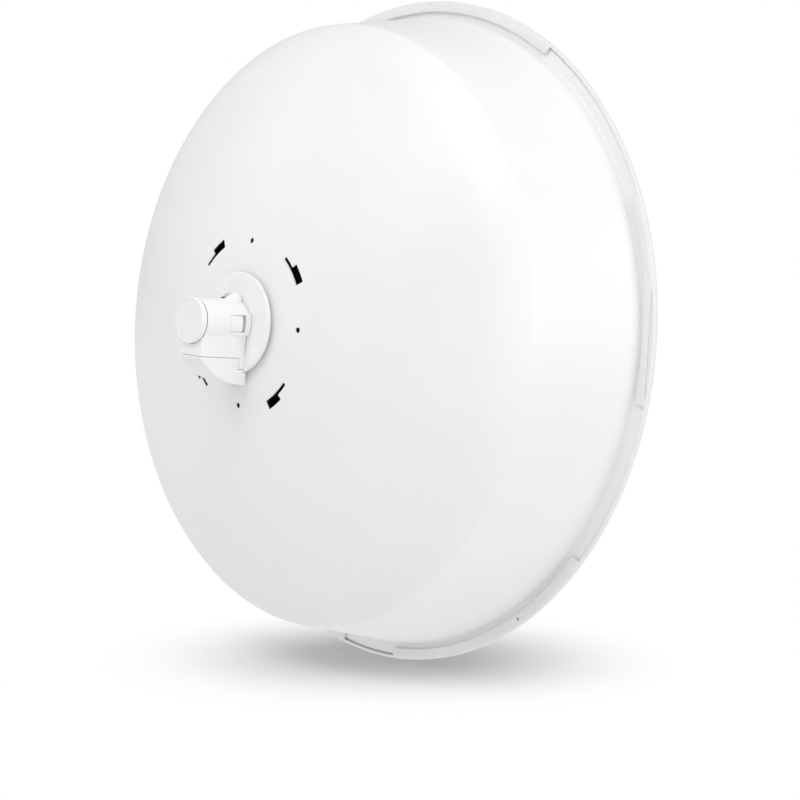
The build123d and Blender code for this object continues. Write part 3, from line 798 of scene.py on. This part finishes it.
def button_outline(width, length, centre_y):
    """Long round-ended outline in x and y."""
    half = width / 2
    reach = length / 2 - half
    points = []
    steps = 14
    for end in (1, -1):
        for k in range(steps + 1):
            a = math.pi * k / steps + (0 if end > 0 else math.pi)
            points.append((half * math.cos(a), centre_y + end * reach + half * math.sin(a)))
    return points


def build_housing():
    """Barrel with the cable box below, the boss above and the latch guards at its sides."""
    body = lathe("barrel", rectangle(0, BARREL_RADIUS, LID_SEAM_Y + 0.9, BARREL_FRONT_Y), 256)
    spigot = lathe("spigot", rectangle(0, BARREL_RADIUS - 1.3, LID_REAR_Y + 3.0, LID_SEAM_Y + 1.0), 128)
    boss = lathe("boss", teardrop(), 128, (0.0, BOSS_AXIS_Z))
    corners = rectangle(-BOX_HALF, BOX_HALF, BOX_REAR_Y, BOX_FRONT_Y)
    box = prism("box", rounded(corners, [BOX_CORNER, BOX_CORNER, 0.0, 0.0]), SEAM_Z, -8.0, upright)
    lid_room = lathe("room", rectangle(0, LID_RADIUS + 0.35, BOX_REAR_Y - 1, LID_SEAM_Y + 0.9), 128)
    combine(box, [lid_room], "DIFFERENCE")
    corners = rectangle(-BOX_HALF, BOX_HALF, COLLAR_REAR_Y, BOX_FRONT_Y)
    collar = prism("collar", corners, COLLAR_BOTTOM_Z, SEAM_Z + 1, upright)
    solids = [body, spigot, boss, box, collar]
    for side in (1, -1):
        solids += guard_parts(side)
    mould(join(solids), 0.32, 4, 0.4)
    inner = BOX_HALF - BOX_WALL
    rear_y, front_y = BOX_REAR_Y + BOX_WALL, BOX_FRONT_Y - BOX_WALL
    cutters = [lathe("bore", rectangle(0, BARREL_BORE, LID_REAR_Y - 1, BARREL_FRONT_Y + 1), 192)]
    for start_y, stop_y, low, high in (
        (rear_y, COLLAR_REAR_Y, SEAM_Z - 1, BOX_ROOF_Z),
        (rear_y + 1.6, COLLAR_REAR_Y - 0.5, BOX_ROOF_Z - 1, -9),
        (COLLAR_REAR_Y - 1, front_y, COLLAR_BOTTOM_Z - 1, BOX_ROOF_Z - 0.5),
    ):
        cutters.append(prism("hollow", rectangle(-inner, inner, start_y, stop_y), low, high, upright))
    for side in (1, -1):
        low, high = sorted((WINDOW_INNER_X * side, WINDOW_OUTER_X * side))
        half = LATCH_HALF + LATCH_GAP
        outline = rectangle(LATCH_REAR_Y - LATCH_GAP, GUARD_BAR_REAR_Y, -half, half)
        outline = rounded(outline, [0.0, 0.8, 0.8, 0.0])
        cutters.append(prism("window", outline, low, high, sideways))
    long_hole = button_outline(BUTTON_HOLE_WIDTH, BUTTON_HOLE_LENGTH, (button_low.y + button_high.y) / 2)
    cutters.append(prism("long_hole", long_hole, 15.0, 40.0, upright))
    combine(body, cutters, "DIFFERENCE")
    body.name = "rear_body"
    return stand_for(smooth(body, 40.0), "rear_housing")


def build_lid():
    """Round lid with a raised bezel round a plain face and a fine seam."""
    bezel = LID_RADIUS - 1.9
    inner = BARREL_RADIUS - 0.9
    corners = [
        (bezel, LID_REAR_Y + 0.5),
        (bezel + 0.5, LID_REAR_Y),
        (LID_RADIUS, LID_REAR_Y),
        (LID_RADIUS, LID_SEAM_Y),
        (inner, LID_SEAM_Y),
        (inner, LID_REAR_Y + 2.6),
    ]
    outline = rounded(corners, [0.0, 0.15, 0.9, 0.35, 0.2, 0.4], 6)
    outline = [(0.0, LID_REAR_Y + 0.5)] + outline + [(0.0, LID_REAR_Y + 2.6)]
    return stand_for(smooth(lathe("end_lid", outline, 192)), "rear_cap")


def build_latch(side, node):
    """Curved tab, flush with the barrel, with a low ramp at its free end."""
    ends = (90.0 * side - LATCH_REACH, 90.0 * side + LATCH_REACH)
    tab = sector("latch", LATCH_INNER, BARREL_RADIUS, LATCH_REAR_Y, LATCH_FRONT_Y, *ends)
    tooth_rear_y = LATCH_FRONT_Y - TOOTH_LENGTH
    tooth = sector("tooth", LATCH_INNER + 0.5, TOOTH_RADIUS, tooth_rear_y, LATCH_FRONT_Y, *ends)
    slope = [
        (BARREL_RADIUS, tooth_rear_y - 0.1),
        (TOOTH_RADIUS + 2, tooth_rear_y - 0.1),
        (TOOTH_RADIUS + 2, LATCH_FRONT_Y - 0.1),
        (TOOTH_RADIUS, LATCH_FRONT_Y - 2.0),
    ]
    combine(tooth, [lathe("ramp", slope, 128)], "DIFFERENCE")
    combine(tab, [tooth], "UNION")
    low, high = sorted((10.0 * side, WINDOW_OUTER_X * side))
    outline = rectangle(LATCH_REAR_Y - 1, LATCH_FRONT_Y + 1, -LATCH_HALF, LATCH_HALF)
    combine(tab, [prism("keep", outline, low, high, sideways)], "INTERSECT")
    tab.name = f"latch_tab_{'right' if side > 0 else 'left'}"
    return stand_for(smooth(bevel(tab, 0.12, 2, 50.0), 40.0), node)


def build_button():
    """Release button with rounded edges and a pocket that the spring's end enters when pressed."""
    size = button_high - button_low
    outline = button_outline(size.x, size.y, (button_low.y + button_high.y) / 2)
    button = prism("press_key", outline, button_low.z, button_high.z, upright)
    bevel(button, 0.8, 4)
    pocket = rectangle(0, spring_high.x + 0.15, button_low.z - 1, button_low.z + POCKET_DEPTH)
    combine(button, [turned_z("pocket", pocket, (spring_low.y + spring_high.y) / 2)], "DIFFERENCE")
    return stand_for(smooth(button), "release_button")


# ---------------------------------------------------------------- cable door


def door_outline(inset):
    """(y, z) outline of the door from its rear seam round the belly to its deep front end."""
    top = SEAM_Z - SEAM_GAP + inset
    rear_y = BOX_REAR_Y + inset
    low = DOOR_BOTTOM_Z + inset
    front = DOOR_FRONT_Y - inset
    step_front = COLLAR_REAR_Y - SEAM_GAP - inset
    step_z = COLLAR_BOTTOM_Z - SEAM_GAP - inset
    start_z = SEAM_Z - SEAM_GAP - 1.5
    rise = start_z - low
    radius = ((BELLY_END_Y - rear_y) ** 2 + rise**2) / (2 * rise)
    sweep = math.asin(min(1.0, (BELLY_END_Y - rear_y) / radius))
    points = [(rear_y, top)]
    steps = 28
    for k in range(steps + 1):
        a = sweep * (1 - k / steps)
        points.append((BELLY_END_Y - radius * math.sin(a), low + radius * (1 - math.cos(a))))
    points.append((front, low))
    points.append((front, step_z))
    points.append((step_front, step_z))
    points.append((step_front, top))
    return points


def disc_relief(clearance):
    """Round cutter that keeps the door clear of the base disc."""
    outline = rectangle(0, DISC_RADIUS + clearance, DISC_REAR_Y - clearance, DISC_FRONT_Y + 10)
    return lathe("relief", outline, 256)


def build_door():
    """Hollow wedge under the cable box, with guide tongues, a finger recess and its arrow."""
    body = prism("door", door_outline(0.0), -BOX_HALF, BOX_HALF, sideways)
    inner = BOX_HALF - DOOR_WALL
    hollow = prism("hollow", door_outline(DOOR_WALL), -inner, inner, sideways)
    combine(hollow, [disc_relief(SEAM_GAP + DOOR_WALL)], "DIFFERENCE")
    combine(body, [disc_relief(SEAM_GAP), hollow], "DIFFERENCE")
    tongue_span = (TONGUE_REAR_Y, TONGUE_FRONT_Y)
    for side in (1, -1):
        outer = (inner - 0.3) * side
        low, high = sorted((outer, outer - TONGUE_THICKNESS * side))
        tongue = prism("tongue", rectangle(low, high, *tongue_span), SEAM_Z - 4, TONGUE_TOP_Z, upright)
        low, high = sorted((outer - 0.2 * side, (inner + 0.5) * side))
        root = prism("root", rectangle(low, high, *tongue_span), SEAM_Z - 4, SEAM_Z - SEAM_GAP, upright)
        combine(body, [tongue, root], "UNION")
    outline = rectangle(0, CABLE_HOLE_RADIUS, DOOR_BOTTOM_Z - 2, DOOR_BOTTOM_Z + 3)
    combine(body, [turned_z("outlet", outline, CABLE_HOLE_Y)], "DIFFERENCE")
    mould(body, 0.28, 3, 0.4)
    for side in (1, -1):
        low, high = sorted(((BOX_HALF - RECESS_DEPTH) * side, (BOX_HALF + 1) * side))
        outline = rounded(rectangle(RECESS_REAR_Y, RECESS_FRONT_Y, RECESS_BOTTOM_Z, SEAM_Z + 1), 0.8)
        combine(body, [prism("recess", outline, low, high, sideways)], "DIFFERENCE")
        low, high = sorted(((BOX_HALF - RECESS_DEPTH - 0.3) * side, (BOX_HALF - ARROW_SINK) * side))
        combine(body, [prism("arrow", ARROW, low, high, sideways)], "UNION")
    body.name = "cable_cover"
    return stand_for(smooth(body, 40.0), "cable_door")


def build_grommet():
    """Rubber ring in the cable outlet."""
    low, high = grommet_low.z + GROMMET_SINK, grommet_high.z
    centre_y = (grommet_low.y + grommet_high.y) / 2
    lip = grommet_high.x
    corners = [
        (2.8, low),
        (CABLE_HOLE_RADIUS - 0.05, low),
        (CABLE_HOLE_RADIUS - 0.05, high - 1.2),
        (lip, high - 1.2),
        (lip, high),
        (2.8, high),
    ]
    outline = rounded(corners, [0.6, 0.5, 0.0, 0.3, 0.5, 0.6], 5)
    return stand_for(smooth(turned_z("cable_ring", outline, centre_y)), "cable_grommet")


# ---------------------------------------------------------------- build

build_dish()
build_radome()
build_flange()
build_housing()
build_lid()
build_latch(1, "side_latch_right")
build_latch(-1, "side_latch_left")
build_button()
build_door()
build_grommet()

# ---------------------------------------------------------------- studio

VIEW_AZIMUTH = math.radians(48.97)
VIEW_ELEVATION = math.radians(6.04)
VIEW_ROLL = math.radians(5.05)
VIEW_DISTANCE = 2.13307
VIEW_TARGET = Vector((0.0, 0.215, 0.0))
FOCAL_SHARE = 2.66841  # focal length over the picture's width
SENSOR = 36.0
TARGET_ACROSS = 0.11545  # where the target sits, from the optical axis, over the picture's width
TARGET_DOWN = -0.18373
LENS_SHIFT = 0.1


def view_axes():
    """The picture's level and upward directions, and the direction from the dish to the camera."""
    az, el = VIEW_AZIMUTH, VIEW_ELEVATION
    back = Vector((math.sin(az) * math.cos(el), -math.cos(az) * math.cos(el), math.sin(el)))
    right = Vector((math.cos(az), math.sin(az), 0.0))
    up = back.cross(right)
    level = right * math.cos(VIEW_ROLL) + up * math.sin(VIEW_ROLL)
    return level, up * math.cos(VIEW_ROLL) - right * math.sin(VIEW_ROLL), back


def add_camera():
    """Camera behind and to the right of the dish, slightly above it and a little rolled."""
    across_axis, up_axis, back = view_axes()
    place = VIEW_TARGET + back * VIEW_DISTANCE
    place -= across_axis * (TARGET_ACROSS / FOCAL_SHARE * VIEW_DISTANCE)
    place += up_axis * (TARGET_DOWN / FOCAL_SHARE * VIEW_DISTANCE)
    data = bpy.data.cameras.new("camera")
    data.sensor_width = SENSOR
    data.lens = FOCAL_SHARE * SENSOR
    data.shift_x = LENS_SHIFT
    data.shift_y = LENS_SHIFT
    camera = bpy.data.objects.new("camera", data)
    axes = Matrix((across_axis, up_axis, back)).transposed().to_4x4()
    camera.matrix_world = Matrix.Translation(place) @ axes
    bpy.context.scene.collection.objects.link(camera)
    bpy.context.scene.camera = camera


FLOOR_SIZE = 30.0  # metres, from the middle to an edge
FLOOR_GAP = 0.0008  # under the rim's lowest point
FLOOR_BOUNCE = 0.89  # brightness of the floor, seen from the dish
FLOOR_FADE = (0.06, 0.3)  # metres from the rim's foot: inside, the floor catches the cast shadow and also has a shadow painted into its colour; outside, plain white
FLOOR_PAINTED_SHADOW = 0.55  # painted shadow: colour of the floor right under the rim, where the shadow is deepest
ROOM_GLOW = 0.5  # brightness of the room, seen from the dish


def add_floor():
    """Plain pale floor under the rim, level in the picture, with a shadow painted into its colour under
    the rim. It fades to white away from the dish.
    """
    level = view_axes()[0]
    ahead = Vector((-math.sin(VIEW_AZIMUTH), math.cos(VIEW_AZIMUTH), 0.0))
    normal = ahead.cross(level)
    normal = normal * (1 if normal.z > 0 else -1)
    normal.normalize()
    lowest = 0.0
    for k in range(720):
        x, z = clock(RIM_RADIUS * MM, k / 2)
        for y in (BAND_REAR_Y * MM, (BAND_FRONT_Y + BAND_EDGE) * MM):
            lowest = min(lowest, Vector((x, y, z)).dot(normal))
    centre = normal * (lowest - FLOOR_GAP)
    bm = bmesh.new()
    bmesh.ops.create_grid(bm, x_segments=1, y_segments=1, size=FLOOR_SIZE)
    mesh = bpy.data.meshes.new("floor")
    bm.to_mesh(mesh)
    bm.free()
    floor = bpy.data.objects.new("floor", mesh)
    floor.matrix_world = Matrix.Translation(centre) @ normal.to_track_quat("Z", "Y").to_matrix().to_4x4()
    bpy.context.scene.collection.objects.link(floor)
    m = Material("floor_with_painted_shadow", (1.0, 1.0, 1.0), 0.3)
    m.roughen(m.ramp(m.noise(300.0, 2.0), 0.3, 0.8), 0.04)
    glow = m.nodes.new("ShaderNodeEmission")
    mixer = m.nodes.new("ShaderNodeMixShader")
    distance = m.nodes.new("ShaderNodeVectorMath")
    distance.operation = "DISTANCE"
    geometry = m.nodes.new("ShaderNodeNewGeometry")
    m.links.new(geometry.outputs["Position"], distance.inputs[0])
    under_rim = Vector((0.02, BAND_REAR_Y * MM, 0.0))
    under_rim -= normal * (under_rim.dot(normal) - lowest)
    distance.inputs[1].default_value = tuple(under_rim - level * 0.03)
    far = m.ramp(distance.outputs["Value"], FLOOR_FADE[0], FLOOR_FADE[1], "SMOOTHSTEP")
    # painted shadow: the floor's colour darkens from white at the fade's outer end to
    # FLOOR_PAINTED_SHADOW at the rim's foot
    painted_shadow = m.nodes.new("ShaderNodeMapRange")
    painted_shadow.interpolation_type = "SMOOTHSTEP"
    painted_shadow.inputs["From Max"].default_value = FLOOR_FADE[1]
    painted_shadow.inputs["To Min"].default_value = FLOOR_PAINTED_SHADOW
    m.links.new(distance.outputs["Value"], painted_shadow.inputs["Value"])
    m.colour = painted_shadow.outputs[0]
    m.done(Specular_IOR_Level=0.1)
    path = m.nodes.new("ShaderNodeLightPath")
    shown = m.nodes.new("ShaderNodeMapRange")
    shown.inputs["To Min"].default_value = FLOOR_BOUNCE
    m.links.new(path.outputs["Is Camera Ray"], shown.inputs["Value"])
    m.links.new(shown.outputs[0], glow.inputs["Strength"])
    bounce = m.nodes.new("ShaderNodeMapRange")
    bounce.inputs["To Min"].default_value = 1.0
    m.links.new(path.outputs["Is Camera Ray"], bounce.inputs["Value"])
    m.links.new(far, bounce.inputs["To Max"])
    m.links.new(bounce.outputs[0], mixer.inputs[0])
    m.links.new(m.shader.outputs[0], mixer.inputs[1])
    m.links.new(glow.outputs[0], mixer.inputs[2])
    output = next(n for n in m.nodes if n.type == "OUTPUT_MATERIAL")
    m.links.new(mixer.outputs[0], output.inputs["Surface"])
    floor.data.materials.append(m.material)


def add_light(name, place, aim, size, power):
    """Large soft lamp pointed at a spot."""
    data = bpy.data.lights.new(name, "AREA")
    data.shape = "RECTANGLE"
    data.size = size[0]
    data.size_y = size[1]
    data.energy = power
    lamp = bpy.data.objects.new(name, data)
    lamp.location = place
    lamp.rotation_euler = (Vector(aim) - Vector(place)).to_track_quat("-Z", "Y").to_euler()
    bpy.context.scene.collection.objects.link(lamp)


def add_world():
    """White room: the camera sees plain white, the object a softer white."""
    world = bpy.data.worlds.new("studio")
    bpy.context.scene.world = world
    world.use_nodes = True
    nodes = world.node_tree.nodes
    links = world.node_tree.links
    background = nodes["Background"]
    path = nodes.new("ShaderNodeLightPath")
    strength = nodes.new("ShaderNodeMapRange")
    strength.inputs["To Min"].default_value = ROOM_GLOW
    strength.inputs["To Max"].default_value = 1.0
    links.new(path.outputs["Is Camera Ray"], strength.inputs["Value"])
    links.new(strength.outputs[0], background.inputs["Strength"])
    background.inputs["Color"].default_value = (1.0, 1.0, 1.0, 1.0)


add_camera()
add_floor()
add_world()
for lamp_name, lamp_place, lamp_size, lamp_power in (
    ("right", (3.4, 0.9, 1.2), (2.2, 2.6), 35.0),
    ("right_rear", (3.0, -1.8, 1.2), (2.2, 2.4), 16.0),
    ("top", (0.2, 0.1, 3.4), (3.2, 3.2), 15.0),
    ("top_rear", (0.4, -2.4, 2.8), (2.6, 2.0), 45.0),
    ("left", (-2.6, -2.0, 1.4), (2.2, 2.4), 14.0),
):
    add_light(lamp_name, lamp_place, (0, 0.1, 0), lamp_size, lamp_power)
bpy.context.scene.view_settings.view_transform = "Standard"
